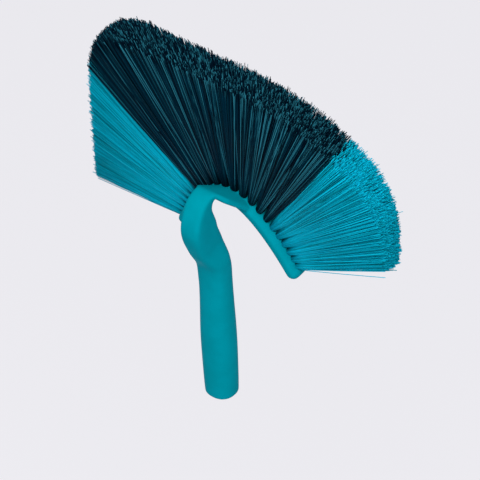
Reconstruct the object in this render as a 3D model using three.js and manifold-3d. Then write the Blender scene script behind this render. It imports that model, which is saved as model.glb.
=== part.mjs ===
// Indoor broom: one moulded grip, gooseneck and arched tuft carrier, and two rows of tufts fanning out of it.
// Millimetres. Origin at the middle of the grip's open lower end, +Z up the grip, -Y to the front, where the
// neck stands.
import * as THREE from 'three';
import { mergeVertices } from 'three/addons/utils/BufferGeometryUtils.js';
import Module from 'manifold-3d';

const wasm = await Module();
wasm.setup();

// Grip and the socket for a pole
const GRIP_LENGTH = 150;
const GRIP_END_WIDTH = 34;
const GRIP_END_DEPTH = 32;
const GRIP_SWELL_WIDTH = 37.5;
const GRIP_SWELL_DEPTH = 33.5;
const GRIP_SWELL_HEIGHT = 68;
const GRIP_WAIST_WIDTH = 34.7;
const GRIP_WAIST_DEPTH = 28.6;
const GRIP_EDGE_ROUND = 2;
const GRIP_SQUARENESS = 2.3;
const SOCKET_MOUTH_DIAMETER = 24;
const SOCKET_END_DIAMETER = 22;
const SOCKET_DEPTH = 95;

// Gooseneck: it rises in front of the arch and hooks back into the crown
const NECK_WIDTH = 25;
const NECK_DEPTH = 35;
const NECK_BULGE = 18.6;
const HOOK_WIDTH = 25;
const HOOK_THICKNESS = 9;
const HOOK_LIFT = 5.2;
const HOOK_SETOFF = 15;
const HOOK_SQUARENESS = 3.2;
const HOOK_ANGLES = { start: 15, top: 90, landing: 150 };
const HOOK_FOOT_WIDTH = 42;
const HOOK_FOOT_THICKNESS = 8.5;
const HOOK_FOOT_SINK = 5;

// Neck sections between grip and hook, at shares of the crown's rise and of the neck's bulge
const SHOULDER = { rise: 0.25, forward: 0.1, squareness: 2.8 };
const THROAT = { rise: 0.54, forward: 0.69, squareness: 3.4 };
const BULGE = { rise: 0.78, forward: 1.1, squareness: 3.8 };

// Arched carrier, a parabola seen from the front
const CROWN_RISE = 98.5;
const CROWN_SETBACK = 35.2;
const ARCH_LEAN = 8.1;
const ARCH_HALF_WIDTH = 77.8;
const ARCH_HEIGHT = 78.3;
const BAR_DEPTH = 31.5;
const BAR_HEIGHT = 14.5;
const BAR_SQUARENESS = 3.4;
const DOME_SWEEP = 80;
const DOME_TAPER = 0.5;

// Tuft beds, each a slice of the carrier in a channel along the arch
const CHANNEL_WALL = 6.7;
const CHANNEL_DEPTH = 6;
const BED_RECESS = 0.2;
const CLEARANCE = 0.3;

// Tufts: the fan is combed a little to its left, as bristles come to lie
const GROUP_COLUMNS = [6, 5, 5, 6];
const ROW_MARGIN = 0.7;
const END_MARGIN = 6;
const BED_END_MARGIN = 2;
const PITCH_EASE = 0.11;
const FAN_LEFT_ANGLE = 88;
const FAN_RIGHT_ANGLE = 70.7;
const BACK_LEAN_CROWN = 3.9;
const BACK_LEAN_LEFT = 0.7;
const BACK_LEAN_RIGHT = 14.6;
const DEPTH_FLARE = 3.7;
const END_GATHER = 0.8;
const TRIM_LEFT = { halfWidth: 178, squareness: 4.7, slant: 0.13 };
const TRIM_RIGHT = { halfWidth: 177.5, squareness: 2.3, slant: -0.03 };
const TRIM_HEIGHT = 150.5;
const TRIM_DROP = 4.3;

// Strands of one tuft, in a square of three by three
const STRAND_GRID = 3;
const STRAND_SIDES = 3;
const STRAND_PITCH = 2.3;
const STRAND_FOOT_RADIUS = 1;
const STRAND_TIP_RADIUS = 1.7;
const STRAND_ROOT = 2;

// Flat anchors under the tufts
const ANCHOR_LENGTH = 6;
const ANCHOR_HEIGHT = 2.4;
const ANCHOR_THICKNESS = 0.6;

// Facets
const SECTION_POINTS = 24;
const NECK_STEPS = 44;
const ARCH_STEPS = 44;
const BED_STEP = 6;
const SOCKET_SIDES = 24;
const DOME_STEPS = 3;
const ARC_DIVISIONS = 800;

// How finely points are merged and strands are trimmed, and how far a cutter stands out of what it cuts
const MERGE_TOLERANCE = 1e-4;
const TRIM_TOLERANCE = 1e-3;
const CUT_MARGIN = 1;

const rad = THREE.MathUtils.degToRad;
const columnCount = GROUP_COLUMNS.reduce((sum, n) => sum + n, 0);
const crownHeight = GRIP_LENGTH + CROWN_RISE;
const channelHalfDepth = BAR_DEPTH / 2 - CHANNEL_WALL;
const bedTop = -BED_RECESS;
const bedBottom = -CHANNEL_DEPTH + CLEARANCE;
const bedHalfDepth = channelHalfDepth - CLEARANCE;
const gridMiddle = (STRAND_GRID - 1) / 2;
const tuftReach = gridMiddle * STRAND_PITCH + STRAND_FOOT_RADIUS;
const rowOffset = bedHalfDepth - ROW_MARGIN - tuftReach;

const teal = { color: 0x00889c, roughness: 0.42, metalness: 0 };
const tealFibre = { color: 0x00879e, roughness: 0.55, metalness: 0 };
const petrolFibre = { color: 0x06303c, roughness: 0.55, metalness: 0 };
const steel = { color: 0xb8bcc0, roughness: 0.35, metalness: 1 };

function solidOf(geometry) {
  const bare = geometry.clone();
  bare.deleteAttribute('normal');
  bare.deleteAttribute('uv');
  const merged = mergeVertices(bare, MERGE_TOLERANCE);
  const vertProperties = new Float32Array(merged.attributes.position.array);
  const triVerts = new Uint32Array(merged.index.array);
  return new wasm.Manifold(new wasm.Mesh({ numProp: 3, vertProperties, triVerts }));
}

function geometryOf(solid) {
  const mesh = solid.getMesh();
  const geometry = new THREE.BufferGeometry();
  geometry.setAttribute('position', new THREE.BufferAttribute(new Float32Array(mesh.vertProperties), 3));
  geometry.setIndex(new THREE.BufferAttribute(new Uint32Array(mesh.triVerts), 1));
  geometry.computeVertexNormals();
  return geometry;
}

function unite(solids) {
  while (solids.length > 1) {
    const pairs = [];
    for (let i = 0; i < solids.length; i += 2) {
      pairs.push(i + 1 < solids.length ? solids[i].add(solids[i + 1]) : solids[i]);
    }
    solids = pairs;
  }
  return solids[0];
}

// Closed skin over a row of convex rings with equal counts of points, turned so that its faces point out
function loft(rings) {
  const count = rings[0].length;
  const last = (rings.length - 1) * count;
  const points = rings.flat();
  const faces = [];
  for (let r = 0; r < last; r += count) {
    for (let i = 0; i < count; i++) {
      const j = (i + 1) % count;
      faces.push([r + i, r + j, r + count + j], [r + i, r + count + j, r + count + i]);
    }
  }
  for (let i = 1; i + 1 < count; i++) {
    faces.push([0, i + 1, i], [last, last + i, last + i + 1]);
  }
  let volume = 0;
  for (const [a, b, c] of faces) {
    volume += points[a].dot(points[b].clone().cross(points[c]));
  }
  const index = volume > 0 ? faces.flat() : faces.map(([a, b, c]) => [a, c, b]).flat();
  const geometry = new THREE.BufferGeometry().setFromPoints(points);
  geometry.setIndex(index);
  return geometry;
}

// Rounded oblong outline; squareness 2 is an ellipse and higher values fill the corners
function oblong(width, depth, squareness) {
  const outline = [];
  for (let i = 0; i < SECTION_POINTS; i++) {
    const angle = (i / SECTION_POINTS) * 2 * Math.PI;
    const reach = (value) => Math.sign(value) * Math.abs(value) ** (2 / squareness);
    const x = (width / 2) * reach(Math.cos(angle));
    const y = (depth / 2) * reach(Math.sin(angle));
    outline.push(new THREE.Vector2(x, y));
  }
  return outline;
}

// Grip and neck: sections along a path in the plane of symmetry
function neckStations() {
  const barFront = CROWN_SETBACK - BAR_DEPTH / 2;
  const hookRadius = (NECK_BULGE + barFront - HOOK_SETOFF) / 2;
  const hookMiddle = NECK_BULGE - hookRadius;
  const hookLevel = crownHeight + HOOK_LIFT;
  const onHook = (angle) => [
    hookMiddle + hookRadius * Math.cos(rad(angle)),
    hookLevel + hookRadius * Math.sin(rad(angle)),
  ];
  const alongNeck = ({ rise, forward }) => [NECK_BULGE * forward, GRIP_LENGTH + CROWN_RISE * rise];
  const barMiddle = crownHeight - BAR_HEIGHT / 2;
  const endWidth = GRIP_END_WIDTH - 2 * GRIP_EDGE_ROUND;
  const endDepth = GRIP_END_DEPTH - 2 * GRIP_EDGE_ROUND;
  const startDepth = (NECK_DEPTH + HOOK_THICKNESS) / 2;
  const startSquareness = (BULGE.squareness + HOOK_SQUARENESS) / 2;
  const landingWidth = (HOOK_WIDTH + HOOK_FOOT_WIDTH) / 2;
  const landingThickness = (HOOK_THICKNESS + HOOK_FOOT_THICKNESS) / 2;
  // forward, up, width, depth, squareness
  return [
    [0, 0, endWidth, endDepth, GRIP_SQUARENESS],
    [0, GRIP_EDGE_ROUND, GRIP_END_WIDTH, GRIP_END_DEPTH, GRIP_SQUARENESS],
    [0, GRIP_SWELL_HEIGHT, GRIP_SWELL_WIDTH, GRIP_SWELL_DEPTH, GRIP_SQUARENESS],
    [0, GRIP_LENGTH, GRIP_WAIST_WIDTH, GRIP_WAIST_DEPTH, (GRIP_SQUARENESS + SHOULDER.squareness) / 2],
    [...alongNeck(SHOULDER), GRIP_WAIST_WIDTH, GRIP_WAIST_DEPTH, SHOULDER.squareness],
    [...alongNeck(THROAT), NECK_WIDTH, NECK_DEPTH, THROAT.squareness],
    [...alongNeck(BULGE), NECK_WIDTH, NECK_DEPTH, BULGE.squareness],
    [...onHook(HOOK_ANGLES.start), NECK_WIDTH, startDepth, startSquareness],
    [...onHook(HOOK_ANGLES.top), HOOK_WIDTH, HOOK_THICKNESS, HOOK_SQUARENESS],
    [...onHook(HOOK_ANGLES.landing), landingWidth, landingThickness, HOOK_SQUARENESS],
    [-(barFront + HOOK_FOOT_SINK), barMiddle, HOOK_FOOT_WIDTH, HOOK_FOOT_THICKNESS, HOOK_SQUARENESS],
  ];
}

function neckGeometry() {
  const stations = neckStations();
  const smooth = (points) => new THREE.CatmullRomCurve3(points, false, 'centripetal');
  const path = smooth(stations.map(([forward, up]) => new THREE.Vector3(0, -forward, up)));
  const sizes = smooth(stations.map(([, , width, depth, square]) => new THREE.Vector3(width, depth, square)));
  const spans = stations.length - 1;
  const rings = [];
  for (let i = 0; i <= NECK_STEPS; i++) {
    const at = i <= 1 ? i / spans : (1 + ((i - 1) / (NECK_STEPS - 1)) * (spans - 1)) / spans;
    const centre = path.getPoint(at);
    const along = path.getTangent(at);
    const across = new THREE.Vector3(1, 0, 0);
    const outward = new THREE.Vector3().crossVectors(along, across);
    const size = sizes.getPoint(at);
    rings.push(oblong(size.x, size.y, size.z).map((p) => centre.clone()
      .addScaledVector(across, p.x)
      .addScaledVector(outward, p.y)));
  }
  return loft(rings);
}

function socketGeometry() {
  const mouth = SOCKET_MOUTH_DIAMETER / 2;
  const profile = [
    new THREE.Vector2(0, -CUT_MARGIN),
    new THREE.Vector2(mouth, -CUT_MARGIN),
    new THREE.Vector2(SOCKET_END_DIAMETER / 2, SOCKET_DEPTH),
    new THREE.Vector2(0, SOCKET_DEPTH),
  ];
  return new THREE.LatheGeometry(profile, SOCKET_SIDES).rotateX(Math.PI / 2);
}

// The arch's outer edge, in the arch's own frame: origin at the crown, Y to the back, Z up the fan
const archEdge = new THREE.QuadraticBezierCurve(
  new THREE.Vector2(-ARCH_HALF_WIDTH, -ARCH_HEIGHT),
  new THREE.Vector2(0, ARCH_HEIGHT),
  new THREE.Vector2(ARCH_HALF_WIDTH, -ARCH_HEIGHT),
);
archEdge.arcLengthDivisions = ARC_DIVISIONS;
const archLength = archEdge.getLength();

function archFrame(arc) {
  const share = THREE.MathUtils.clamp(arc / archLength + 0.5, 0, 1);
  const point = archEdge.getPointAt(share);
  const tangent = archEdge.getTangentAt(share);
  return {
    point: new THREE.Vector3(point.x, 0, point.y),
    along: new THREE.Vector3(tangent.x, 0, tangent.y),
    out: new THREE.Vector3(-tangent.y, 0, tangent.x),
  };
}

// A bar along the arch between two arcs, from its inner to its outer height over the edge
function barAlongArch(from, to, inner, outer, halfDepth) {
  const steps = Math.max(1, Math.ceil((to - from) / BED_STEP));
  const corners = [[inner, -halfDepth], [inner, halfDepth], [outer, halfDepth], [outer, -halfDepth]];
  const rings = [];
  for (let i = 0; i <= steps; i++) {
    const { point, out } = archFrame(from + ((to - from) * i) / steps);
    rings.push(corners.map(([height, y]) => point.clone().addScaledVector(out, height).setY(y)));
  }
  return loft(rings);
}

// The arch itself, with a domed foot at each end
function archGeometry() {
  const section = oblong(BAR_DEPTH, BAR_HEIGHT, BAR_SQUARENESS);
  const dome = BAR_HEIGHT / 2;
  const rings = [];
  const addRing = (arc, reach, scale) => {
    const { point, along, out } = archFrame(arc);
    const centre = point.addScaledVector(out, -BAR_HEIGHT / 2).addScaledVector(along, reach);
    const taper = 1 - DOME_TAPER * (1 - scale);
    rings.push(section.map((p) => centre.clone().addScaledVector(out, p.y * scale).setY(p.x * taper)));
  };
  const addDomeRing = (side, step) => {
    const angle = rad((DOME_SWEEP * step) / DOME_STEPS);
    addRing((side * archLength) / 2, side * dome * Math.sin(angle), Math.cos(angle));
  };
  for (let i = DOME_STEPS; i >= 1; i--) {
    addDomeRing(-1, i);
  }
  for (let i = 0; i <= ARCH_STEPS; i++) {
    addRing((i / ARCH_STEPS - 0.5) * archLength, 0, 1);
  }
  for (let i = 1; i <= DOME_STEPS; i++) {
    addDomeRing(1, i);
  }
  return loft(rings);
}

// Where things lie along the fan: place runs from -1 at the left end column to 1 at the right one
const lastArc = archLength / 2 - END_MARGIN;
const bedEndArc = archLength / 2 - BED_END_MARGIN;
const eased = (place) => place * (1 + PITCH_EASE) - PITCH_EASE * place ** 3;
const columnPlace = (column) => (2 * column) / (columnCount - 1) - 1;
const placeStep = 2 / (columnCount - 1);
const arcAt = (place) => lastArc * eased(place);

function fanDirection(place, depthShare) {
  const turn = rad(place < 0 ? FAN_LEFT_ANGLE : FAN_RIGHT_ANGLE) * eased(place);
  const endLean = place < 0 ? BACK_LEAN_LEFT : BACK_LEAN_RIGHT;
  const flare = DEPTH_FLARE * (1 - END_GATHER * place ** 4);
  const lean = rad(BACK_LEAN_CROWN + (endLean - BACK_LEAN_CROWN) * place ** 2 + flare * depthShare);
  return new THREE.Vector3(Math.cos(lean) * Math.sin(turn), Math.sin(lean), Math.cos(lean) * Math.cos(turn));
}

// Distance from a foot to the trim line of the fan, found by halving: a rounded outline that is fuller on its
// left and whose sides run straight below the crown
function trimmedLength(foot, direction) {
  let near = 0;
  let far = Math.max(TRIM_LEFT.halfWidth, TRIM_RIGHT.halfWidth) + TRIM_HEIGHT;
  while (far - near > TRIM_TOLERANCE) {
    const middle = (near + far) / 2;
    const tip = foot.clone().addScaledVector(direction, middle);
    const { halfWidth, squareness, slant } = tip.x < 0 ? TRIM_LEFT : TRIM_RIGHT;
    const across = Math.abs(tip.x) / (halfWidth - slant * tip.z);
    const up = Math.max(tip.z + TRIM_DROP, 0) / TRIM_HEIGHT;
    if (across ** squareness + up ** squareness < 1) {
      near = middle;
    } else {
      far = middle;
    }
  }
  return near;
}

function strandGeometry(foot, direction, twist) {
  const side = new THREE.Vector3(0, 1, 0).cross(direction).normalize();
  const other = new THREE.Vector3().crossVectors(direction, side);
  const ring = (distance, radius) => {
    const points = [];
    for (let i = 0; i < STRAND_SIDES; i++) {
      const angle = twist + (i / STRAND_SIDES) * 2 * Math.PI;
      points.push(foot.clone()
        .addScaledVector(direction, distance)
        .addScaledVector(side, radius * Math.cos(angle))
        .addScaledVector(other, radius * Math.sin(angle)));
    }
    return points;
  };
  const length = trimmedLength(foot, direction);
  return loft([ring(-STRAND_ROOT, STRAND_FOOT_RADIUS), ring(length, STRAND_TIP_RADIUS)]);
}

// The strands of a tuft stand close at their feet and fan out to even gaps between all the tips
function tuftStrands(column, row) {
  const strands = [];
  const { point, along, out } = archFrame(arcAt(columnPlace(column)));
  for (let i = 0; i < STRAND_GRID; i++) {
    for (let j = 0; j < STRAND_GRID; j++) {
      const acrossShare = (i - gridMiddle) / STRAND_GRID;
      const depthShare = row / 2 + (j - gridMiddle) / STRAND_GRID;
      const foot = point.clone()
        .addScaledVector(along, (i - gridMiddle) * STRAND_PITCH)
        .addScaledVector(out, bedTop)
        .setY(row * rowOffset + (j - gridMiddle) * STRAND_PITCH);
      const direction = fanDirection(columnPlace(column) + acrossShare * placeStep, depthShare);
      strands.push(solidOf(strandGeometry(foot, direction, i + 2 * j)));
    }
  }
  return strands;
}

// A flat plate across the row at the root of a tuft; grow adds room all round for its slot
function anchorGeometry(column, row, grow) {
  const { point, along, out } = archFrame(arcAt(columnPlace(column)));
  const half = ANCHOR_THICKNESS / 2 + grow;
  const reach = ANCHOR_LENGTH / 2 + grow;
  const corners = [[-half, -reach], [half, -reach], [half, reach], [-half, reach]];
  const ring = (height) => corners.map(([across, depth]) => point.clone()
    .addScaledVector(out, height)
    .addScaledVector(along, across)
    .setY(row * rowOffset + depth));
  return loft([ring(bedBottom - grow), ring(bedBottom + ANCHOR_HEIGHT + grow)]);
}

const rows = [-1, 1];

// Ends of a group's bed: halfway to the next group's end column, or past its last column at the arch's ends
function bedEnds(firstColumn, count) {
  const nextColumn = firstColumn + count;
  const before = (column) => (arcAt(columnPlace(column - 1)) + arcAt(columnPlace(column))) / 2;
  const from = firstColumn === 0 ? -bedEndArc : before(firstColumn) + CLEARANCE / 2;
  const to = nextColumn === columnCount ? bedEndArc : before(nextColumn) - CLEARANCE / 2;
  return [from, to];
}

function bristleGeometry(firstColumn, count) {
  const [from, to] = bedEnds(firstColumn, count);
  let bed = solidOf(barAlongArch(from, to, bedBottom, bedTop, bedHalfDepth));
  const strands = [];
  for (let column = firstColumn; column < firstColumn + count; column++) {
    for (const row of rows) {
      bed = bed.subtract(solidOf(anchorGeometry(column, row, CLEARANCE)));
      strands.push(...tuftStrands(column, row));
    }
  }
  return geometryOf(unite([bed, ...strands]));
}

function bodyGeometry() {
  const channelEnd = bedEndArc + CLEARANCE;
  const channel = barAlongArch(-channelEnd, channelEnd, -CHANNEL_DEPTH, BAR_HEIGHT, channelHalfDepth);
  const toPlace = new THREE.Matrix4()
    .makeRotationX(rad(ARCH_LEAN))
    .setPosition(0, CROWN_SETBACK, crownHeight);
  const arch = solidOf(archGeometry().applyMatrix4(toPlace));
  const neck = solidOf(neckGeometry());
  return geometryOf(neck.add(arch)
    .subtract(solidOf(channel.applyMatrix4(toPlace)))
    .subtract(solidOf(socketGeometry())));
}

function addMesh(parent, name, geometry, finish) {
  const mesh = new THREE.Mesh(geometry, new THREE.MeshStandardMaterial(finish));
  mesh.name = name;
  parent.add(mesh);
}

const broom = new THREE.Group();
addMesh(broom, 'broom_body', bodyGeometry(), teal);

const fan = new THREE.Group();
fan.position.set(0, CROWN_SETBACK, crownHeight);
fan.rotation.x = rad(ARCH_LEAN);
broom.add(fan);

const groupNames = ['left_bristles', 'crown_left_bristles', 'crown_right_bristles', 'right_bristles'];
const groupFinishes = [tealFibre, petrolFibre, petrolFibre, tealFibre];
let firstColumn = 0;
GROUP_COLUMNS.forEach((count, group) => {
  addMesh(fan, groupNames[group], bristleGeometry(firstColumn, count), groupFinishes[group]);
  firstColumn += count;
});

for (let column = 0; column < columnCount; column++) {
  const label = String(column + 1).padStart(2, '0');
  addMesh(fan, `front_anchor_${label}`, anchorGeometry(column, rows[0], 0), steel);
  addMesh(fan, `back_anchor_${label}`, anchorGeometry(column, rows[1], 0), steel);
}

export default broom;
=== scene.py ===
"""Indoor broom: a moulded grip, gooseneck and arch, with a fan of bristle tufts on the arch."""

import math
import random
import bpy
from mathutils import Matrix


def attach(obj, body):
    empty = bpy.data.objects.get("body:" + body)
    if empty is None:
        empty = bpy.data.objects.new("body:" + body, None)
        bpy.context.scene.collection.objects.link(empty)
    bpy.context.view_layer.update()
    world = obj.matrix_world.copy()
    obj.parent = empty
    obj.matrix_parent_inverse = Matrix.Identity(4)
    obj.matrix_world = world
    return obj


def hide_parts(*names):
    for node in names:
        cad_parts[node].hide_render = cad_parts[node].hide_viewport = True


bl_info = {
    "name": "Indoor broom",
    "version": (1, 0, 0),
    "blender": (4, 5, 0),
    "location": "View3D > Sidebar > Broom",
    "description": "Dresses the frame of an indoor broom: its moulding, bristle tufts and a plain stage",
    "category": "Object",
}

import bmesh
import bpy
from bpy.props import FloatProperty, FloatVectorProperty, IntProperty, PointerProperty
from mathutils import Matrix, Vector

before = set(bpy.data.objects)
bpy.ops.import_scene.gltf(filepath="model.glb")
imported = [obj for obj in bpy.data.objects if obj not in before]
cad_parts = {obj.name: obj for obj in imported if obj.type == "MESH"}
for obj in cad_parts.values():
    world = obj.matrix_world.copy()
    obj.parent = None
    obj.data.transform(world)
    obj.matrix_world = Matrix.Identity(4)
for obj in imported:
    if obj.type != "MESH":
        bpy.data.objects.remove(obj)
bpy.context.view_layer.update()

MM = 0.001
BODY = "root"


# Properties, with lengths given in millimetres and angles in degrees

def length(name, millimetres, description):
    return FloatProperty(
        name=name, description=description, default=millimetres * MM, unit="LENGTH", precision=4
    )


def angle(name, degrees, description):
    return FloatProperty(
        name=name, description=description, default=math.radians(degrees), subtype="ANGLE"
    )


def number(name, value, description):
    return FloatProperty(name=name, description=description, default=value, precision=3)


def share(name, value, description):
    return FloatProperty(
        name=name, description=description, default=value, min=0.0, max=1.0, subtype="FACTOR"
    )


def count(name, value, description):
    return IntProperty(name=name, description=description, default=value, min=1)


def colour(name, rgb, description):
    return FloatVectorProperty(
        name=name, description=description, default=rgb, subtype="COLOR", min=0.0, max=1.0
    )


class BroomMoulding(bpy.types.PropertyGroup):
    """Sizes and finish of the teal moulding"""

    grip_length: length("Grip length", 150, "From the open end to the start of the neck")
    grip_end_width: length("Grip end width", 34, "Across the grip at its open end")
    grip_end_depth: length("Grip end depth", 32, "Front to back at the open end")
    grip_swell_width: length("Grip swell width", 37.5, "Across the grip where it is fullest")
    grip_swell_depth: length("Grip swell depth", 33.5, "Front to back where the grip is fullest")
    grip_swell_height: length("Grip swell height", 68, "Where the grip is fullest, above its end")
    grip_waist_width: length("Grip waist width", 34.7, "Across the top of the grip")
    grip_waist_depth: length("Grip waist depth", 28.6, "Front to back at the top of the grip")
    grip_edge_round: length("Grip edge round", 2, "Rounding of the edge at the open end")
    grip_squareness: number("Grip squareness", 2.3, "2 is an ellipse and higher values are squarer")
    socket_mouth: length("Socket mouth", 24, "Diameter of the pole socket at its mouth")
    socket_end: length("Socket end", 22, "Diameter of the pole socket at its closed end")
    socket_depth: length("Socket depth", 95, "Depth of the pole socket")

    neck_width: length("Neck width", 25, "Across the gooseneck")
    neck_depth: length("Neck depth", 35, "Front to back through the gooseneck")
    neck_bulge: length("Neck bulge", 18.6, "How far the neck stands in front of the grip")
    shoulder_squareness: number("Shoulder squareness", 2.8, "Section just above the grip")
    throat_squareness: number("Throat squareness", 4.0, "Section halfway up the neck")
    bulge_squareness: number("Bulge squareness", 4.8, "Section at the front of the neck")
    hook_width: length("Hook width", 25, "Across the top of the hook")
    hook_thickness: length("Hook thickness", 7.4, "Through the top of the hook")
    hook_lift: length("Hook lift", 3.0, "Middle of the hook's arc above the crown")
    hook_setoff: length("Hook set-off", 15, "From the hook's arc to the front of the arch")
    hook_squareness: number("Hook squareness", 4.0, "Section of the hook")
    hook_foot_width: length("Hook foot width", 58, "Across the hook at the arch")
    hook_foot_thickness: length("Hook foot thickness", 8.5, "Through the hook at the arch")
    hook_foot_sink: length("Hook foot sink", 6, "How far the hook runs into the arch")
    hook_foot_drop: length("Hook foot drop", 4.4, "Middle of the hook's foot below the crown")

    crown_rise: length("Crown rise", 98.5, "Crown of the arch above the grip")
    crown_setback: length("Crown setback", 35.2, "Crown of the arch behind the grip's axis")
    arch_lean: angle("Arch lean", 8.1, "Lean of the arch's plane to the front")
    arch_half_width: length("Arch half width", 77.8, "From the middle to the outside of a leg")
    arch_height: length("Arch height", 78.3, "From the crown to the feet")
    arch_left_short: length("Left leg short", 6.5, "How much sooner the left leg ends")
    bar_depth: length("Bar depth", 31.5, "Front to back through the arch")
    bar_height: length("Bar height", 14.5, "Thickness of the arch")
    bar_squareness: number("Bar squareness", 3.4, "Section of the arch")

    voxel: length("Remesh step", 0.9, "Grid at which neck and arch melt into one skin")
    melt: count("Melt", 10, "Smoothing passes that round the skin's edges")
    pit_depth: length("Tuft hole depth", 0.35, "Depth of the hole that a tuft grows out of")
    pit_edge: length("Tuft hole edge", 0.7, "Width of the rounded edge of a tuft's hole")

    colour: colour("Colour", (0.0, 0.3, 0.385), "Teal of the moulding")
    shade: colour("Shade", (0.0, 0.275, 0.35), "Deeper teal of the faint mottling")
    roughness: share("Roughness", 0.4, "Roughness of the satin skin")


class BroomFan(bpy.types.PropertyGroup):
    """Sizes and finish of the bristle tufts"""

    columns: count("Columns", 22, "Tufts along the arch in each row")
    teal_columns: count("Teal columns", 6, "Columns of teal tufts at each end")
    row_offset: length("Row offset", 4.75, "From the middle of the arch to a row")
    end_margin: length("End margin", 6, "From the last tuft to the arch's end")
    pitch_ease: number("Pitch ease", 0.11, "How much wider the tufts stand at the crown")
    fan_left: angle("Left fan angle", 88, "Turn of the last tuft on the left")
    fan_right: angle("Right fan angle", 70.7, "Turn of the last tuft on the right")
    lean_crown: angle("Lean at the crown", 3.9, "Backward lean of the tufts at the crown")
    lean_left: angle("Lean at the left", 0.7, "Backward lean of the last tuft on the left")
    lean_right: angle("Lean at the right", 14.6, "Backward lean of the last tuft on the right")
    flare: angle("Flare", 3.7, "Spread of the outermost strands to the front and back")
    end_gather: share("End gather", 0.8, "How much less the last tufts flare")
    left_half_width: length("Left half width", 178, "From the middle to the cut on the left")
    left_squareness: number("Left squareness", 6.5, "Fullness of the cut's corner on the left")
    left_slant: number("Left slant", 0.13, "How much the cut draws in with height on the left")
    right_half_width: length("Right half width", 174.5, "From the middle to the cut on the right")
    right_squareness: number("Right squareness", 2.3, "Fullness of the cut's corner on the right")
    right_slant: number("Right slant", -0.03, "How much the cut draws in with height on the right")
    trim_height: length("Trim height", 150.5, "Height that the fan is cut to")
    trim_drop: length("Trim drop", 4.3, "Middle of the cut below the crown")
    right_extra: length("Right extra", 5, "Added to the middle teal tufts on the right")

    tuft_radius: length("Tuft radius", 3.5, "Radius of a tuft where it leaves its hole")
    teal_spread: number("Teal spread", 1.16, "Width of a teal tuft's foot, against its depth")
    strand_grid: count("Strand grid", 22, "Strands along each side of a tuft's square of strands")
    strand_sides: count("Strand sides", 4, "Sides of a strand")
    strand_cuts: count("Strand cuts", 2, "Cuts along a strand, where it bends")
    strand_radius: length("Strand radius", 0.38, "Radius of a strand at its foot")
    strand_taper: number("Strand taper", 0.9, "Radius at the tip as a share of that at the foot")
    strand_root: length("Strand root", 4, "How deep a strand starts below the arch's face")
    knee: share("Knee", 0.1, "Share of a strand in which it splays out of its hole")
    knee_splay: number("Knee splay", 1.7, "Width of a tuft at the knee, against that at its foot")
    overlap: number("Overlap", 1.9, "Width of a tuft at its tips, against its share of the fan")
    border_overlap: number("Border overlap", 1.5, "The same towards the other colour")
    end_overlap: number("End overlap", 1.1, "The same towards the fan's ends")
    cut_dome: length("Cut dome", 5, "How much the cut is rounded from front to back")
    ragged: length("Ragged", 1.2, "Unevenness of the cut")
    long: share("Long", 0.02, "Share of strands that the cut has missed")
    long_reach: length("Long reach", 4, "How far the longest of them stands out")
    stray: length("Stray", 1.5, "How far a tip strays from its place")
    clump: count("Clump", 2, "Strands along each side of a clump of like tone")
    clump_tone: share("Clump tone", 0.12, "How much of a strand's tone it shares with its clump")
    # Painted light: strands grow paler towards the right of the fan, where more light falls
    right_painted_light: share("Right pale", 0.18, "How many more strands are pale at the right of the fan")
    root_shade: share("Root shade", 0.85, "Depth of the shade between the feet of the tufts")
    loose: share("Loose", 0.004, "Share of strands that stand off from the rest")
    end_loose: share("End loose", 0.03, "The same in the last tufts and the first teal on the right")
    loose_stray: number("Loose stray", 2.6, "How much further a loose strand strays")

    teal: colour("Teal", (0.0, 0.41, 0.575), "Teal fibres")
    teal_light: colour("Light teal", (0.002, 0.5, 0.7), "Lightest teal fibres")
    teal_dark: colour("Dark teal", (0.0, 0.26, 0.345), "Darkest teal fibres")
    petrol: colour("Petrol", (0.0, 0.021, 0.042), "Dark fibres")
    petrol_light: colour("Light petrol", (0.022, 0.175, 0.245), "Lightest dark fibres")
    petrol_dark: colour("Deep petrol", (0.0, 0.002, 0.008), "Darkest dark fibres")
    gap: colour("Gap", (0.0, 0.006, 0.01), "Shade between the feet of the tufts")
    teal_speckle: share("Teal speckle", 0.15, "Share of a teal cut that is dark")
    petrol_speckle: share("Petrol speckle", 0.55, "Share of a dark cut that is dark")
    roughness: share("Roughness", 0.5, "Roughness of the fibres")
    seed: count("Seed", 7, "Start of the random draws")


class BroomStage(bpy.types.PropertyGroup):
    """Floor, light and camera"""

    floor_drop: length("Floor drop", 450, "Floor below the grip's end, since the broom is held up")
    floor_size: length("Floor size", 9000, "Side of the floor")
    backdrop: colour("Backdrop", (0.875, 0.867, 0.91), "Pale floor and background")
    ambience: number("Ambience", 0.35, "Strength of the even light from all round")
    key_power: FloatProperty(
        name="Key power", description="Power of the large soft lamp", default=43.0, unit="POWER"
    )
    key_size: length("Key size", 1500, "Side of the large soft lamp")
    key_distance: length("Key distance", 2000, "From the broom to the large soft lamp")
    key_azimuth: angle("Key azimuth", 36, "Direction of the large soft lamp round the broom")
    key_elevation: angle("Key elevation", 58, "Height of the large soft lamp")
    camera_azimuth: angle("Camera azimuth", 41.05, "Direction of the camera round the broom")
    camera_elevation: angle("Camera elevation", 38.74, "Height of the camera")
    camera_roll: angle("Camera roll", 3.07, "Turn of the camera about its own axis")
    camera_distance: length("Camera distance", 4000, "From the aim to the camera")
    aim: FloatVectorProperty(
        name="Aim", description="Point in the middle of the picture", subtype="TRANSLATION",
        unit="LENGTH", default=(0.02529, 0.01171, 0.20338),
    )
    view_width: length("View width", 480, "Width of the picture at the aim")


# Shapes shared by the moulding and the tufts

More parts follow.
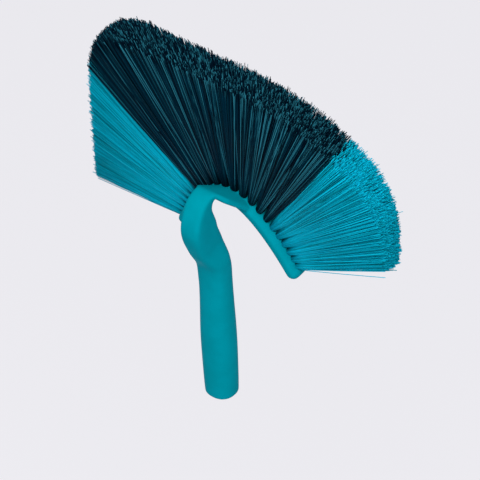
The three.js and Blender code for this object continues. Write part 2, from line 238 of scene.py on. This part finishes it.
def oblong(width, depth, squareness, points):
    """Rounded oblong outline; squareness 2 is an ellipse, and higher values fill its corners."""
    outline = []
    for i in range(points):
        turn = 2 * math.pi * i / points
        across, through = math.cos(turn), math.sin(turn)
        outline.append(Vector((
            width / 2 * math.copysign(abs(across) ** (2 / squareness), across),
            depth / 2 * math.copysign(abs(through) ** (2 / squareness), through),
        )))
    return outline


def smooth_step(part):
    """Eases from 0 to 1."""
    return part * part * (3 - 2 * part)


def smooth_run(points, at):
    """Point at a share of a smooth curve that runs through the points."""
    spans = len(points) - 1
    span = min(int(at * spans), spans - 1)
    part = at * spans - span
    start, end = points[span], points[span + 1]
    before = points[span - 1] if span > 0 else 2 * start - end
    after = points[span + 2] if span + 2 <= spans else 2 * end - start
    gap = math.sqrt((end - start).length)
    gap_before = math.sqrt((start - before).length) or gap
    gap_after = math.sqrt((after - end).length) or gap
    first, here, last = (start - before) / gap_before, (end - start) / gap, (after - end) / gap_after
    leaving = (first - (end - before) / (gap_before + gap) + here) * gap
    arriving = (here - (after - start) / (gap + gap_after) + last) * gap
    bend = 3 * (end - start) - 2 * leaving - arriving
    twist = 2 * (start - end) + leaving + arriving
    return start + leaving * part + bend * part ** 2 + twist * part ** 3


class ArchEdge:
    """The arch's outer edge, a parabola from left to right, walked by its length from the crown."""

    STEPS = 800

    def __init__(self, moulding):
        self.half_width = moulding.arch_half_width
        self.height = moulding.arch_height
        self.marks = [0.0]
        for i in range(self.STEPS):
            self.marks.append(self.marks[-1] + (self.at(i + 1) - self.at(i)).length)
        self.length = self.marks[-1]
        self.place = Matrix.Translation(
            (0, moulding.crown_setback, moulding.grip_length + moulding.crown_rise)
        ) @ Matrix.Rotation(moulding.arch_lean, 4, "X")

    def at(self, step):
        across = 2 * step / self.STEPS - 1
        return Vector((self.half_width * across, 0, -self.height * across ** 2))

    def frame(self, arc):
        """Point on the edge, direction along it and direction out of it."""
        wanted = min(max(arc + self.length / 2, 0.0), self.length)
        low, high = 0, self.STEPS
        while high - low > 1:
            middle = (low + high) // 2
            if self.marks[middle] <= wanted:
                low = middle
            else:
                high = middle
        part = (wanted - self.marks[low]) / (self.marks[high] - self.marks[low])
        along = (self.at(high) - self.at(low)).normalized()
        return self.at(low).lerp(self.at(high), part), along, Vector((-along.z, 0, along.x))


class Tufts:
    """Where each tuft grows, where its strands point and how long they are."""

    TRIM_TOLERANCE = 0.1 * MM

    # The extra on the right rises from the last tuft and falls again towards the dark ones
    EXTRA_RISE, EXTRA_FALL = 4.3, 4

    # The middle of the cut stands out by this share of the dome, and its front and back lie lower
    DOME_MIDDLE = 0.8

    def __init__(self, fan, edge):
        self.fan = fan
        self.edge = edge
        self.last_arc = edge.length / 2 - fan.end_margin
        self.place_step = 2 / (fan.columns - 1)

    def column_place(self, column):
        return column * self.place_step - 1

    def eased(self, place):
        return place * (1 + self.fan.pitch_ease) - self.fan.pitch_ease * place ** 3

    def foot_frame(self, column):
        return self.edge.frame(self.last_arc * self.eased(self.column_place(column)))

    def direction(self, place, depth):
        fan = self.fan
        turn = (fan.fan_left if place < 0 else fan.fan_right) * self.eased(place)
        end_lean = fan.lean_left if place < 0 else fan.lean_right
        flare = fan.flare * (1 - fan.end_gather * place ** 4)
        lean = fan.lean_crown + (end_lean - fan.lean_crown) * place ** 2 + flare * depth
        return Vector((
            math.cos(lean) * math.sin(turn), math.sin(lean), math.cos(lean) * math.cos(turn)
        ))

    def trimmed(self, foot, direction):
        """Distance from a foot to the cut of the fan, found by halving."""
        fan = self.fan
        near, far = 0.0, max(fan.left_half_width, fan.right_half_width) + fan.trim_height
        left = fan.left_half_width, fan.left_squareness, fan.left_slant
        right = fan.right_half_width, fan.right_squareness, fan.right_slant
        while far - near > self.TRIM_TOLERANCE:
            middle = (near + far) / 2
            tip = foot + direction * middle
            half_width, squareness, slant = left if tip.x < 0 else right
            across = abs(tip.x) / (half_width - slant * tip.z)
            up = max(tip.z + fan.trim_drop, 0.0) / fan.trim_height
            if across ** squareness + up ** squareness < 1:
                near = middle
            else:
                far = middle
        return near

    def overlaps(self, column):
        """Widths at a tuft's tips to its left and right, against its share of the fan."""
        fan = self.fan
        special = {
            0: fan.end_overlap,
            fan.teal_columns: fan.border_overlap,
            fan.columns - fan.teal_columns: fan.border_overlap,
            fan.columns: fan.end_overlap,
        }
        return [special.get(side, fan.overlap) for side in (column, column + 1)]

    def foot_spread(self, column):
        fan = self.fan
        dark = fan.teal_columns <= column < fan.columns - fan.teal_columns
        return 1.0 if dark else fan.teal_spread

    def loose_share(self, column):
        fan = self.fan
        at_end = column in (0, fan.columns - fan.teal_columns, fan.columns - 1)
        return fan.end_loose if at_end else fan.loose

    def extra(self, column):
        """What a teal tuft on the right has beyond the cut, most of it in the middle of the teal."""
        fan = self.fan
        from_end = (fan.columns - 1 - column) / (fan.teal_columns - 1)
        if from_end > 1:
            return 0.0
        return fan.right_extra * from_end * (self.EXTRA_RISE - self.EXTRA_FALL * from_end)

    def dome(self, depth):
        """What rounds the cut, with depth from -1 at the front to 1 at the back."""
        return self.fan.cut_dome * (self.DOME_MIDDLE - depth ** 2)


# Mesh helpers

def ring_onto(verts, points):
    for vert, point in zip(verts, points):
        vert.co = point


def loft(bm, rings):
    """Closed skin: a circle on the first ring, drawn through the others and filled at both ends."""
    verts = bmesh.ops.create_circle(bm, segments=len(rings[0]), radius=1.0)["verts"]
    ring_onto(verts, rings[0])
    edges = list({edge for vert in verts for edge in vert.link_edges})
    bmesh.ops.edgeloop_fill(bm, edges=edges)
    for points in rings[1:]:
        grown = bmesh.ops.extrude_edge_only(bm, edges=edges)["geom"]
        fresh = {item for item in grown if isinstance(item, bmesh.types.BMVert)}
        edges = [
            item for item in grown
            if isinstance(item, bmesh.types.BMEdge) and fresh.issuperset(item.verts)
        ]
        verts = [
            next(edge.other_vert(vert) for edge in vert.link_edges if edge.other_vert(vert) in fresh)
            for vert in verts
        ]
        ring_onto(verts, points)
    bmesh.ops.edgeloop_fill(bm, edges=edges)


def object_from(bm, name):
    """Object at the origin that holds the bmesh."""
    mesh = bpy.data.meshes.new(name)
    bm.to_mesh(mesh)
    bm.free()
    made = bpy.data.objects.new(name, mesh)
    bpy.context.scene.collection.objects.link(made)
    return made


def settle(piece):
    """Applies a piece's modifiers to its mesh."""
    bpy.context.view_layer.update()
    depsgraph = bpy.context.evaluated_depsgraph_get()
    settled = bpy.data.meshes.new_from_object(piece.evaluated_get(depsgraph))
    rough = piece.data
    piece.modifiers.clear()
    piece.data = settled
    bpy.data.meshes.remove(rough)
    settled.name = piece.name


def smooth_shaded(piece):
    piece.data.polygons.foreach_set("use_smooth", [True] * len(piece.data.polygons))


def dress(piece, material, nodes):
    """Gives a piece its finish and lets it ride on the body in place of its nodes."""
    piece.data.materials.clear()
    piece.data.materials.append(material)
    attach(piece, BODY)
    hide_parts(*nodes)


# Materials

class Value:
    """A shader value; expressions on it add Math nodes."""

    def __init__(self, finish, socket):
        self.finish = finish
        self.socket = socket

    def math(self, operation, first, second):
        return self.finish.node("ShaderNodeMath", {"operation": operation}, {0: first, 1: second})

    def __add__(self, other):
        return self.math("ADD", self, other)

    __radd__ = __add__

    def __sub__(self, other):
        return self.math("SUBTRACT", self, other)

    def __rsub__(self, other):
        return self.math("SUBTRACT", other, self)

    def __mul__(self, other):
        return self.math("MULTIPLY", self, other)

    __rmul__ = __mul__


class Finish:
    """A node tree; node() adds a node and returns its first or named output as a Value."""

    def __init__(self, tree):
        self.tree = tree
        tree.nodes.clear()

    def node(self, kind, settings=None, sockets=None, output=0):
        made = self.tree.nodes.new(kind)
        for name, value in (settings or {}).items():
            setattr(made, name, value)
        for name, value in (sockets or {}).items():
            if isinstance(value, Value):
                self.tree.links.new(value.socket, made.inputs[name])
            else:
                made.inputs[name].default_value = value
        return Value(self, made.outputs[output]) if made.outputs else None

    def attribute(self, name):
        return self.node("ShaderNodeAttribute", {"attribute_name": name}, output="Fac")

    def place(self):
        return self.node("ShaderNodeTexCoord", output="Object")

    def along_axis(self, place, axis):
        return self.node("ShaderNodeSeparateXYZ", None, {0: place}, output=axis)

    def noise(self, place, scale, detail):
        sockets = {"Vector": place, "Scale": scale, "Detail": detail}
        return self.node("ShaderNodeTexNoise", None, sockets)

    def between(self, value, low, high):
        """0 below low, 1 above high and a smooth step between them."""
        return self.node(
            "ShaderNodeMapRange", {"interpolation_type": "SMOOTHSTEP"},
            {"Value": value, "From Min": low, "From Max": high},
        )

    def mix(self, factor, first, second):
        """Colours mixed by a factor."""
        return self.node(
            "ShaderNodeMix", {"data_type": "RGBA"}, {0: factor, 6: first, 7: second}, output=2
        )

    def bump(self, height, strength, distance):
        return self.node(
            "ShaderNodeBump", None, {"Height": height, "Strength": strength, "Distance": distance}
        )


def rgba(rgb):
    return (*rgb, 1.0)


def surface(name, paint):
    """Material whose Principled sockets come from paint, a function of its Finish."""
    material = bpy.data.materials.new(name)
    material.use_nodes = True
    finish = Finish(material.node_tree)
    shader = finish.node("ShaderNodeBsdfPrincipled", None, paint(finish))
    finish.node("ShaderNodeOutputMaterial", None, {"Surface": shader})
    return material


# Both plastics reflect a little of the room, tinted teal
SPECULAR_TINT = (0.2, 0.8, 1.0, 1.0)
MOULDING_SPECULAR, FIBRE_SPECULAR = 0.003, 0.06
MOULDING_IOR, FIBRE_IOR = 1.48, 1.5

# Satin plastic: noise scales to the metre, and the values between which a mask grows from 0 to 1
MOTTLE_SCALE, MOTTLE_DETAIL, MOTTLE_MASK = 38.0, 3.0, (0.35, 0.65)
GRAIN_SCALE, GRAIN_DETAIL, GRAIN_STRENGTH, GRAIN_HEIGHT = 2600.0, 1.0, 0.06, 0.2 * MM
POLISH_START, POLISH_END = 0.3, 1.2
WORN_MASK, WORN_SHARE, WORN_LIGHT = (0.52, 0.6), 0.5, 1.15
MOTTLE_ROUGHNESS, POLISH_ROUGHNESS = 0.12, 0.06


def satin_plastic(moulding):
    """Moulded teal plastic: a fine spark-eroded grain, faint mottling and a hand-polished grip."""

    def paint(finish):
        place = finish.place()
        mottle = finish.noise(place, MOTTLE_SCALE, MOTTLE_DETAIL)
        grain = finish.noise(place, GRAIN_SCALE, GRAIN_DETAIL)
        polish = 1 - finish.between(
            finish.along_axis(place, "Z"),
            POLISH_START * moulding.grip_length, POLISH_END * moulding.grip_length,
        )
        worn = finish.between(finish.node("ShaderNodeNewGeometry", output="Pointiness"), *WORN_MASK)
        mottled = finish.between(mottle, *MOTTLE_MASK)
        body = finish.mix(mottled, rgba(moulding.shade), rgba(moulding.colour))
        light = [WORN_LIGHT * channel for channel in moulding.colour]
        rough = moulding.roughness + (mottle - 0.5) * MOTTLE_ROUGHNESS
        return {
            "Base Color": finish.mix(worn * WORN_SHARE, body, rgba(light)),
            "Roughness": rough - polish * POLISH_ROUGHNESS,
            "Normal": finish.bump(grain, GRAIN_STRENGTH, GRAIN_HEIGHT),
            "IOR": MOULDING_IOR,
            "Specular IOR Level": MOULDING_SPECULAR,
            "Specular Tint": SPECULAR_TINT,
        }

    return surface("satin_teal_plastic", paint)


# Fibres: tones run from 0 to 1, and shares along a strand from its root to its tip
DEEP_TONES, PALE_TONES, SPECKLE_TONES = (0.1, 0.45), (0.76, 0.94), 0.45
# Painted light reaches its full strength at this share of the right half width from the middle
PAINTED_LIGHT_REACH = 0.5
RIM_MASK, ROOT_MASK, CUT_MASK, CUT_SHARE = (0.65, 1.0), (0.03, 0.26), (0.94, 0.99), 0.8
STREAK_SCALE, STREAK_DETAIL, STREAK_STRENGTH, STREAK_HEIGHT = 160.0, 2.0, 0.15, 0.1 * MM
STREAK_ROUGHNESS, CUT_ROUGHNESS = 0.2, 0.25


def fibre(name, fan, base, light, dark, speckle):
    """Plastic fibres: a tone for each strand, painted light towards the right of the fan, painted shade
    round a tuft's foot and a speckled cut.
    """

    def paint(finish):
        tone = finish.attribute("strand_tone")
        along = finish.attribute("strand_along")
        place = finish.place()
        streak = finish.noise(place, STREAK_SCALE, STREAK_DETAIL)
        # Painted light: strands are painted paler towards the right of the fan, where more light falls
        painted_light_to_right = finish.between(
            finish.along_axis(place, "X"), 0.0, PAINTED_LIGHT_REACH * fan.right_half_width
        )
        tone_with_painted_light = tone + fan.right_painted_light * painted_light_to_right
        deep = finish.mix(finish.between(tone, *DEEP_TONES), rgba(dark), rgba(base))
        pale = finish.mix(finish.between(tone_with_painted_light, *PALE_TONES), deep, rgba(light))
        rim = finish.between(finish.attribute("strand_rim"), *RIM_MASK)
        shaded = fan.root_shade * rim * (1 - finish.between(along, *ROOT_MASK))
        rooted = finish.mix(shaded, pale, rgba(fan.gap))
        speckled = finish.between(tone, speckle, speckle + SPECKLE_TONES)
        cut = finish.mix(speckled, rgba(dark), rgba(light))
        at_cut = finish.between(along, *CUT_MASK)
        rough = fan.roughness + (streak - 0.5) * STREAK_ROUGHNESS
        return {
            "Base Color": finish.mix(at_cut * CUT_SHARE, rooted, cut),
            "Roughness": rough + at_cut * CUT_ROUGHNESS,
            "Normal": finish.bump(streak, STREAK_STRENGTH, STREAK_HEIGHT),
            "IOR": FIBRE_IOR,
            "Specular IOR Level": FIBRE_SPECULAR,
            "Specular Tint": SPECULAR_TINT,
        }

    return surface(name, paint)


# Steel strip: drawing lines run from front to back, where the scale is low
STEEL, BRIGHT_STEEL = (0.42, 0.44, 0.46), (0.58, 0.6, 0.62)
LINE_SCALE, LINE_DETAIL, LINE_STRENGTH, LINE_HEIGHT = (900.0, 60.0, 900.0), 3.0, 0.1, 0.05 * MM
STEEL_ROUGHNESS, LINE_ROUGHNESS = 0.28, 0.16


def steel_strip():
    """Plain steel strip with fine drawing lines."""

    def paint(finish):
        stretch = {"Vector": finish.place(), "Scale": LINE_SCALE}
        lines = finish.noise(finish.node("ShaderNodeMapping", None, stretch), 1.0, LINE_DETAIL)
        return {
            "Base Color": finish.mix(lines, rgba(STEEL), rgba(BRIGHT_STEEL)),
            "Metallic": 1.0,
            "Roughness": STEEL_ROUGHNESS + lines * LINE_ROUGHNESS,
            "Normal": finish.bump(lines, LINE_STRENGTH, LINE_HEIGHT),
        }

    return surface("steel_strip", paint)


# Moulding

# Fineness of the sections and of the steps between them
SECTION_POINTS = 48
NECK_STEPS = 150
ARCH_STEPS = 120
DOME_STEPS = 6
SLOPE_STEP = 1e-3

# Neck stations: shares of the bulge and of the crown's rise, and turns on the hook's arc
SHOULDER, THROAT, BULGE = (0.1, 0.25), (0.69, 0.54), (1.1, 0.78)
HOOK_START, HOOK_TOP, HOOK_LANDING = (math.radians(degrees) for degrees in (15, 90, 150))

# Where the hook starts, it keeps this share of what the neck is deeper by
START_SHARE = 0.4

# Share of the neck's stations at the hook's top, from where it is draped over the crown
HOOK_TOP_SHARE = 0.8

# A dome stops just short of its pole, and a hole takes in the skin this far off the arch's face
DOME_TURN = math.radians(85)
PIT_SLACK = 2 * MM
MELT_FACTOR = 0.5


def neck_stations(m):
    """Rows of forward, up, width, depth and squareness from the grip's end to the arch."""
    crown = m.grip_length + m.crown_rise
    bar_front = m.crown_setback - m.bar_depth / 2
    radius = (m.neck_bulge + bar_front - m.hook_setoff) / 2

    def on_hook(turn):
        return (
            m.neck_bulge - radius + radius * math.cos(turn),
            crown + m.hook_lift + radius * math.sin(turn),
        )

    def on_neck(shares):
        forward, rise = shares
        return m.neck_bulge * forward, m.grip_length + m.crown_rise * rise

    end = m.grip_end_width - 2 * m.grip_edge_round, m.grip_end_depth - 2 * m.grip_edge_round
    waist = m.grip_waist_width, m.grip_waist_depth
    neck = m.neck_width, m.neck_depth
    start = m.neck_width, m.hook_thickness + START_SHARE * (m.neck_depth - m.hook_thickness)
    top = m.hook_width, m.hook_thickness
    foot = m.hook_foot_width, m.hook_foot_thickness
    landing = [(at_top + at_foot) / 2 for at_top, at_foot in zip(top, foot)]
    return [
        (0, 0, *end, m.grip_squareness),
        (0, m.grip_edge_round, m.grip_end_width, m.grip_end_depth, m.grip_squareness),
        (0, m.grip_swell_height, m.grip_swell_width, m.grip_swell_depth, m.grip_squareness),
        (0, m.grip_length, *waist, (m.grip_squareness + m.shoulder_squareness) / 2),
        (*on_neck(SHOULDER), *waist, m.shoulder_squareness),
        (*on_neck(THROAT), *neck, m.throat_squareness),
        (*on_neck(BULGE), *neck, m.bulge_squareness),
        (*on_hook(HOOK_START), *start, (m.bulge_squareness + m.hook_squareness) / 2),
        (*on_hook(HOOK_TOP), *top, m.hook_squareness),
        (*on_hook(HOOK_LANDING), *landing, m.hook_squareness),
        (-(bar_front + m.hook_foot_sink), crown - m.hook_foot_drop, *foot, m.hook_squareness),
    ]


def neck_rings(m):
    """Sections from the socket's end, over the rim and up the grip and neck into the arch."""
    stations = neck_stations(m)
    path = [Vector((0, -forward, up)) for forward, up, *_ in stations]
    # Squareness is brought to the scale of a length, so that it doesn't set the pace of the run
    sizes = [Vector((width, depth, square * MM)) for _, _, width, depth, square in stations]
    across = Vector((1, 0, 0))
    rings = []
    for diameter, height in ((m.socket_end, m.socket_depth), (m.socket_mouth, 0.0)):
        circle = oblong(diameter, diameter, 2.0, SECTION_POINTS)
        rings.append([Vector((p.x, p.y, height)) for p in circle])
    for i in range(NECK_STEPS + 1):
        at = i / NECK_STEPS
        centre = smooth_run(path, at)
        before, after = max(at - SLOPE_STEP, 0.0), min(at + SLOPE_STEP, 1.0)
        ahead = smooth_run(path, after) - smooth_run(path, before)
        through = ahead.normalized().cross(across)
        size = smooth_run(sizes, at)
        outline = oblong(size.x, size.y, size.z / MM, SECTION_POINTS)
        draped = max((at - HOOK_TOP_SHARE) / (1 - HOOK_TOP_SHARE), 0.0)
        drop = smooth_step(draped) * m.arch_height / m.arch_half_width ** 2
        rings.append([
            centre + across * p.x + through * p.y - Vector((0, 0, drop * p.x ** 2)) for p in outline
        ])
    return rings


def arch_rings(m, edge):
    """Sections along the arch, with a dome at each foot."""
    section = oblong(m.bar_depth, m.bar_height, m.bar_squareness, SECTION_POINTS)
    dome = m.bar_height / 2
    left, right = m.arch_left_short - edge.length / 2, edge.length / 2
    rings = []

    def add_ring(arc, reach, scale):
        point, along, out = edge.frame(arc)
        centre = point - out * (m.bar_height / 2) + along * reach
        drawn_in = (1 + scale) / 2
        ring = [centre + out * (p.y * scale) + Vector((0, p.x * drawn_in, 0)) for p in section]
        rings.append([edge.place @ p for p in ring])

    def add_dome(end, side, steps):
        for step in steps:
            turn = DOME_TURN * step / DOME_STEPS
            add_ring(end, side * dome * math.sin(turn), math.cos(turn))

    add_dome(left, -1, range(DOME_STEPS, 0, -1))
    for i in range(ARCH_STEPS + 1):
        add_ring(left + (right - left) * i / ARCH_STEPS, 0.0, 1.0)
    add_dome(right, 1, range(1, DOME_STEPS + 1))
    return rings


def sink_tuft_holes(piece, m, fan, edge):
    """Presses a shallow round hole into the skin where each tuft grows."""
    tufts = Tufts(fan, edge)
    holes = []
    for column in range(fan.columns):
        point, _, out = tufts.foot_frame(column)
        for row in (-1, 1):
            foot = point + Vector((0, row * fan.row_offset, 0))
            holes.append((edge.place @ foot, edge.place.to_3x3() @ out))
    reach = fan.tuft_radius + m.pit_edge
    for vert in piece.data.vertices:
        for foot, out in holes:
            offset = vert.co - foot
            height = offset.dot(out)
            if abs(height) > m.pit_depth + PIT_SLACK:
                continue
            away = (offset - out * height).length
            if away < reach:
                inside = min((reach - away) / m.pit_edge, 1.0)
                vert.co -= out * (m.pit_depth * smooth_step(inside))
                break


class BROOM_OT_moulding(bpy.types.Operator):
    """Models the grip, gooseneck and arch as one smooth moulding"""

    bl_idname = "broom.moulding"
    bl_label = "Moulding"

    def execute(self, context):
        m, fan = context.scene.broom_moulding, context.scene.broom_fan
        edge = ArchEdge(m)
        bm = bmesh.new()
        loft(bm, neck_rings(m))
        loft(bm, arch_rings(m, edge))
        bmesh.ops.recalc_face_normals(bm, faces=bm.faces)
        piece = object_from(bm, "moulding")
        remesh = piece.modifiers.new("one_skin", "REMESH")
        remesh.mode = "VOXEL"
        remesh.voxel_size = m.voxel
        melt = piece.modifiers.new("melt", "SMOOTH")
        melt.factor = MELT_FACTOR
        melt.iterations = m.melt
        settle(piece)
        sink_tuft_holes(piece, m, fan, edge)
        smooth_shaded(piece)
        dress(piece, satin_plastic(m), ["broom_body"])
        return {"FINISHED"}


# Tufts

# A strand's place in its square jumps by this share of a step, and its radius varies in this range
JITTER = 0.8
RADIUS_RANGE = (0.8, 1.2)


def strand_blank(fan):
    """One straight strand of unit length and radius, cut where it will bend."""
    bm = bmesh.new()
    bmesh.ops.create_cone(
        bm, cap_ends=True, segments=fan.strand_sides, radius1=1.0, radius2=fan.strand_taper,
        depth=1.0, matrix=Matrix.Translation((0, 0, 0.5)),
    )
    upright = [edge for edge in bm.edges if abs(edge.verts[0].co.z - edge.verts[1].co.z) > 0.5]
    bmesh.ops.subdivide_edges(bm, edges=upright, cuts=fan.strand_cuts)
    for face in bm.faces:
        face.smooth = True
    along = bm.verts.layers.float.new("strand_along")
    bm.verts.layers.float.new("strand_tone")
    bm.verts.layers.float.new("strand_rim")
    for vert in bm.verts:
        vert[along] = vert.co.z
    blank = bpy.data.meshes.new("strand_blank")
    bm.to_mesh(blank)
    bm.free()
    return blank


def add_strand(bm, blank, foot, knee, tip, radius, turn, tone, rim):
    """Appends a strand that leaves its foot towards its knee and bends to its tip."""
    first = len(bm.verts)
    bm.from_mesh(blank)
    bm.verts.ensure_lookup_table()
    tones, rims = (bm.verts.layers.float[name] for name in ("strand_tone", "strand_rim"))
    chord = (tip - foot).normalized()
    side = chord.cross(Vector((0, 1, 0))).normalized()
    other = chord.cross(side)
    across = (side * math.cos(turn) + other * math.sin(turn)) * radius
    through = (other * math.cos(turn) - side * math.sin(turn)) * radius
    for i in range(first, len(bm.verts)):
        vert = bm.verts[i]
        x, y, part = vert.co
        spine = foot.lerp(knee, part).lerp(knee.lerp(tip, part), part)
        vert.co = spine + across * x + through * y
        vert[tones] = tone
        vert[rims] = rim


def grow_tuft(bm, blank, tufts, column, row, draw):
    """Grows one tuft: its feet fill a round hole and its tips fill their share of the fan."""
    fan, edge = tufts.fan, tufts.edge
    point, along, out = tufts.foot_frame(column)
    place = tufts.column_place(column)
    axis = tufts.direction(place, row / 2)
    depth_axis = Vector((0, 1, 0))
    root = point + depth_axis * (row * fan.row_offset)
    to_left, painted_light_to_right = tufts.overlaps(column)
    extra, spread = tufts.extra(column), tufts.foot_spread(column)
    loose = tufts.loose_share(column)
    clumps = math.ceil(fan.strand_grid / fan.clump)
    clump_tones = [[draw.random() for _ in range(clumps)] for _ in range(clumps)]
    for i in range(fan.strand_grid):
        for j in range(fan.strand_grid):
            s = (2 * i + 1 + draw.uniform(-JITTER, JITTER)) / fan.strand_grid - 1
            t = (2 * j + 1 + draw.uniform(-JITTER, JITTER)) / fan.strand_grid - 1
            depth = (row + t) / 2
            round_s = s * math.sqrt(1 - t * t / 2)
            round_t = t * math.sqrt(1 - s * s / 2)
            offset = (along * (round_s * spread) + depth_axis * round_t) * fan.tuft_radius
            foot = root + offset
            overlap = to_left if s < 0 else painted_light_to_right
            direction = tufts.direction(place + s * overlap * tufts.place_step / 2, depth)
            reach = tufts.trimmed(foot, direction) + extra + tufts.dome(depth)
            reach += fan.ragged * draw.gauss(0, 1)
            if draw.random() < fan.long:
                reach += fan.long_reach * draw.random()
            stray = Vector([draw.gauss(0, 1) for _ in range(3)]) * fan.stray
            if draw.random() < loose:
                stray *= fan.loose_stray
            tip = foot + direction * reach + stray - direction * stray.dot(direction)
            knee = root + offset * fan.knee_splay + axis * (reach * fan.knee)
            tone = draw.random()
            tone += (clump_tones[i // fan.clump][j // fan.clump] - tone) * fan.clump_tone
            bends = [edge.place @ bend for bend in (foot - out * fan.strand_root, knee, tip)]
            radius = fan.strand_radius * draw.uniform(*RADIUS_RANGE)
            add_strand(bm, blank, *bends, radius, draw.uniform(0, math.pi), tone, abs(s))


class BROOM_OT_bristles(bpy.types.Operator):
    """Grows the tufts of the four bristle groups, strand by strand"""

    bl_idname = "broom.bristles"
    bl_label = "Bristles"

    def execute(self, context):
        m, fan = context.scene.broom_moulding, context.scene.broom_fan
        tufts = Tufts(fan, ArchEdge(m))
        teal = fibre(
            "teal_bristle", fan, fan.teal, fan.teal_light, fan.teal_dark, fan.teal_speckle
        )
        petrol = fibre(
            "petrol_bristle", fan, fan.petrol, fan.petrol_light, fan.petrol_dark, fan.petrol_speckle
        )
        middle = fan.columns // 2
        ends = (0, fan.teal_columns, middle, fan.columns - fan.teal_columns, fan.columns)
        groups = (
            ("left_tufts", "left_bristles", teal, "teal_fibre"),
            ("crown_left_tufts", "crown_left_bristles", petrol, "petrol_fibre"),
            ("crown_right_tufts", "crown_right_bristles", petrol, "petrol_fibre"),
            ("right_tufts", "right_bristles", teal, "teal_fibre"),
        )
        blank = strand_blank(fan)
        draw = random.Random(fan.seed)
        for (name, node, material, slot), first, last in zip(groups, ends, ends[1:]):
            bm = bmesh.new()
            for column in range(first, last):
                for row in (-1, 1):
                    grow_tuft(bm, blank, tufts, column, row, draw)
            piece = object_from(bm, name)
            dress(piece, material, [node])
        bpy.data.meshes.remove(blank)
        return {"FINISHED"}


class BROOM_OT_anchors(bpy.types.Operator):
    """Gives the flat anchors under the tufts their steel finish"""

    bl_idname = "broom.anchors"
    bl_label = "Anchors"

    def execute(self, context):
        steel = steel_strip()
        for name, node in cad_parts.items():
            if "_anchor_" in name:
                node.data.materials.clear()
                node.data.materials.append(steel)
        return {"FINISHED"}


# Stage

FLOOR_GLOW = 0.85
CAMERA_REACH = 100.0


def outward(azimuth, elevation):
    """Direction from the broom; azimuth 0 is its front."""
    return Vector((
        math.sin(azimuth) * math.cos(elevation),
        -math.cos(azimuth) * math.cos(elevation),
        math.sin(elevation),
    ))


def seen(finish):
    """1 for what the camera, a reflection or a view through something clear shows, else 0."""
    rays = [finish.node("ShaderNodeLightPath", output=ray) for ray in (
        "Is Camera Ray", "Is Glossy Ray", "Is Transmission Ray"
    )]
    return finish.node("ShaderNodeClamp", None, {"Value": rays[0] + rays[1] + rays[2]})


def pale_floor(stage):
    """Matt pale floor that shows the backdrop's colour and keeps a soft shadow."""
    material = bpy.data.materials.new("pale_floor")
    material.use_nodes = True
    finish = Finish(material.node_tree)
    matt = finish.node("ShaderNodeBsdfDiffuse", None, {"Color": rgba(stage.backdrop)})
    glow = finish.node("ShaderNodeEmission", None, {"Color": rgba(stage.backdrop), "Strength": 1.0})
    both = finish.node("ShaderNodeMixShader", None, {0: seen(finish) * FLOOR_GLOW, 1: matt, 2: glow})
    finish.node("ShaderNodeOutputMaterial", None, {"Surface": both})
    return material


def pale_world(stage):
    """Even light all round that shows as the backdrop's colour."""
    world = bpy.data.worlds.new("pale_world")
    world.use_nodes = True
    finish = Finish(world.node_tree)
    light, shown = (
        finish.node("ShaderNodeBackground", None, {"Color": rgba(rgb), "Strength": strength})
        for rgb, strength in (((1, 1, 1), stage.ambience), (stage.backdrop, 1.0))
    )
    both = finish.node("ShaderNodeMixShader", None, {0: seen(finish), 1: light, 2: shown})
    finish.node("ShaderNodeOutputWorld", None, {"Surface": both})
    return world


def look_from(holder, place, aim):
    holder.location = place
    holder.rotation_euler = (aim - place).to_track_quat("-Z", "Y").to_euler()


class BROOM_OT_stage(bpy.types.Operator):
    """Sets up the pale floor, the soft light and the camera"""

    bl_idname = "broom.stage"
    bl_label = "Stage"

    def execute(self, context):
        stage, scene = context.scene.broom_stage, context.scene
        aim = Vector(stage.aim)

        bm = bmesh.new()
        bmesh.ops.create_grid(
            bm, x_segments=1, y_segments=1, size=stage.floor_size / 2,
            matrix=Matrix.Translation((0, 0, -stage.floor_drop)),
        )
        floor = object_from(bm, "floor")
        floor.data.materials.append(pale_floor(stage))

        scene.world = pale_world(stage)
        lamp = bpy.data.lights.new("key_lamp", "AREA")
        lamp.energy = stage.key_power
        lamp.size = stage.key_size
        key = bpy.data.objects.new("key_lamp", lamp)
        scene.collection.objects.link(key)
        to_key = outward(stage.key_azimuth, stage.key_elevation) * stage.key_distance
        look_from(key, aim + to_key, aim)

        lens = bpy.data.cameras.new("camera")
        lens.lens = lens.sensor_width * stage.camera_distance / stage.view_width
        lens.clip_end = CAMERA_REACH
        camera = bpy.data.objects.new("camera", lens)
        scene.collection.objects.link(camera)
        to_camera = outward(stage.camera_azimuth, stage.camera_elevation) * stage.camera_distance
        look_from(camera, aim + to_camera, aim)
        camera.rotation_euler = (
            camera.rotation_euler.to_matrix() @ Matrix.Rotation(-stage.camera_roll, 3, "Z")
        ).to_euler()
        scene.camera = camera
        scene.view_settings.view_transform = "Standard"
        return {"FINISHED"}


class BROOM_PT_panel(bpy.types.Panel):
    """Lists the steps that dress the broom"""

    bl_label = "Broom"
    bl_idname = "BROOM_PT_panel"
    bl_space_type = "VIEW_3D"
    bl_region_type = "UI"
    bl_category = "Broom"

    def draw(self, context):
        for step in STEPS:
            self.layout.operator(step.bl_idname)


GROUPS = {
    "broom_moulding": BroomMoulding,
    "broom_fan": BroomFan,
    "broom_stage": BroomStage,
}
STEPS = (BROOM_OT_stage, BROOM_OT_moulding, BROOM_OT_bristles, BROOM_OT_anchors)


def register():
    for cls in (*GROUPS.values(), *STEPS, BROOM_PT_panel):
        bpy.utils.register_class(cls)
    for name, group in GROUPS.items():
        setattr(bpy.types.Scene, name, PointerProperty(type=group))


def unregister():
    for name in GROUPS:
        delattr(bpy.types.Scene, name)
    for cls in reversed((*GROUPS.values(), *STEPS, BROOM_PT_panel)):
        bpy.utils.unregister_class(cls)


def main():
    register()
    bpy.ops.broom.stage()
    bpy.ops.broom.moulding()
    bpy.ops.broom.bristles()
    bpy.ops.broom.anchors()


if __name__ == "__main__":
    main()
